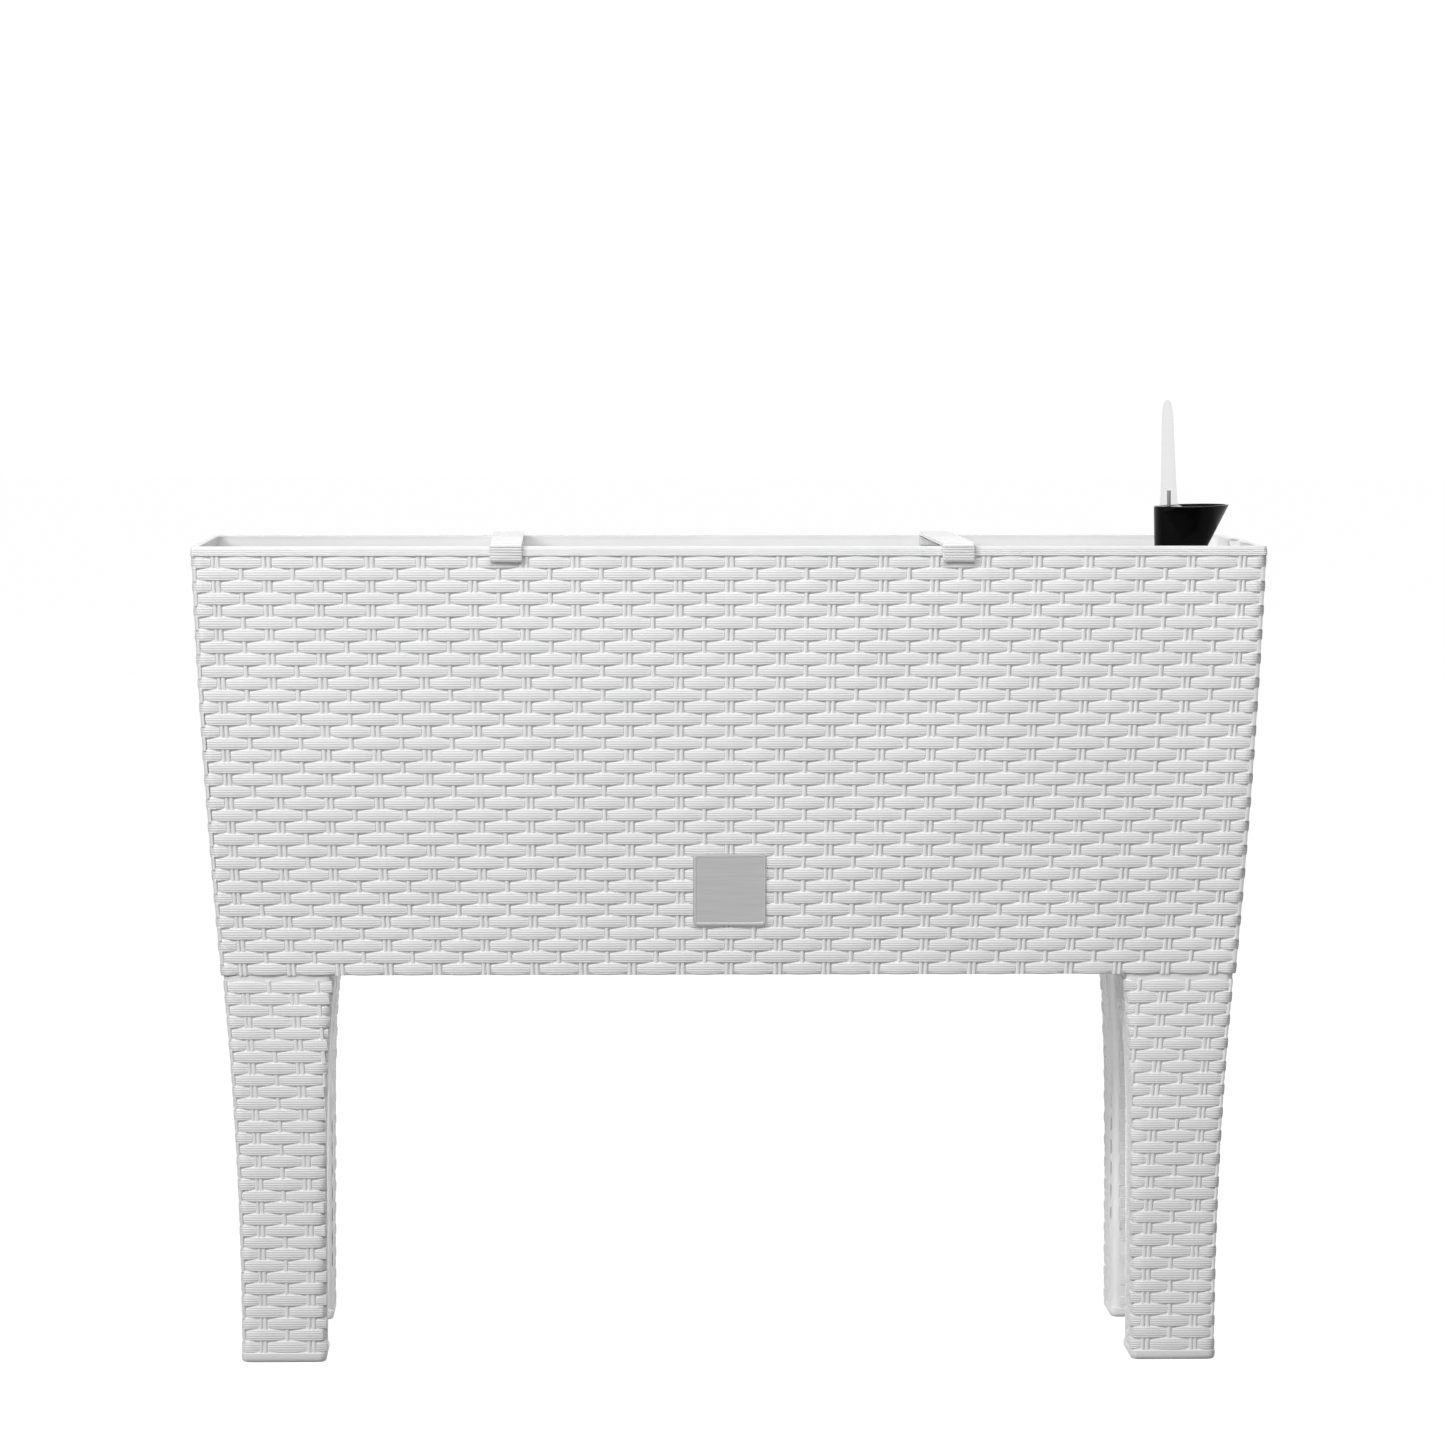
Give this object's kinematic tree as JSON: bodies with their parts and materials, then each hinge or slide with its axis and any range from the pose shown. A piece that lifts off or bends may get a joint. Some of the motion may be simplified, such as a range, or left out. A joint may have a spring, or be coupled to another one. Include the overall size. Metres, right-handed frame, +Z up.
{
  "type": "self-watering planter",
  "caption": "White woven-look rectangular planter box on four swept legs, with cross braces, a black filler funnel and a float level indicator over a water reservoir.",
  "frame": {"origin": "on the floor, under the centre of the planter", "axes": "+X along the length towards the funnel end, -Y is the front with the badge, +Z up"},
  "size_m": [0.6, 0.2552, 0.5366],
  "materials": {
    "shell_white": "satin moulded polypropylene",
    "leg_white": "satin moulded polypropylene",
    "brace_white": "satin moulded polypropylene",
    "badge_silver": "satin, bare",
    "watering_black": "semi-gloss moulded",
    "capsule_clear": "translucent, frosted",
    "stem_grey": "matte",
    "float_foam": "closed-cell foam",
    "wick_felt": "needled felt",
    "screw_steel": "zinc plated",
    "seal_rubber": "matte",
    "plug_grey": "matte"
  },
  "bodies": {
    "planter": {"outer_box": "shell_white", "box_floor": "shell_white", "woven_skin": "shell_white", "badge_plate": "badge_silver", "leg_front_left": "leg_white", "leg_front_right": "leg_white", "leg_rear_left": "leg_white", "leg_rear_right": "leg_white", "leg_screws": "screw_steel", "screw_washers": "seal_rubber", "separator_plate": "watering_black", "wick_front_left": "wick_felt", "wick_front_right": "wick_felt", "wick_rear_left": "wick_felt", "wick_rear_right": "wick_felt"},
    "watering_unit": {"filler_tube": "watering_black", "tube_strainer": "watering_black", "funnel": "watering_black", "indicator_capsule": "capsule_clear"},
    "float": {"float_stem": "stem_grey", "float_body": "float_foam"},
    "left_brace": {"brace_left": "brace_white"},
    "right_brace": {"brace_right": "brace_white"},
    "drain": {"drain_plug": "plug_grey", "drain_gasket": "seal_rubber"}
  },
  "joints": [
    {"name": "watering_unit_lift", "type": "slide", "parent": "planter", "child": "watering_unit", "axis": [0, 0, 1], "range_m": [0, 0.2]},
    {"name": "float_rise", "type": "slide", "parent": "watering_unit", "child": "float", "axis": [0, 0, 1], "range_m": [0, 0.04]},
    {"name": "left_brace_lift", "type": "slide", "parent": "planter", "child": "left_brace", "axis": [0, 0, 1], "range_m": [0, 0.05]},
    {"name": "right_brace_lift", "type": "slide", "parent": "planter", "child": "right_brace", "axis": [0, 0, 1], "range_m": [0, 0.05]},
    {"name": "drain_plug_pull", "type": "slide", "parent": "planter", "child": "drain", "axis": [0, 0, -1], "range_m": [0, 0.025]}
  ]
}
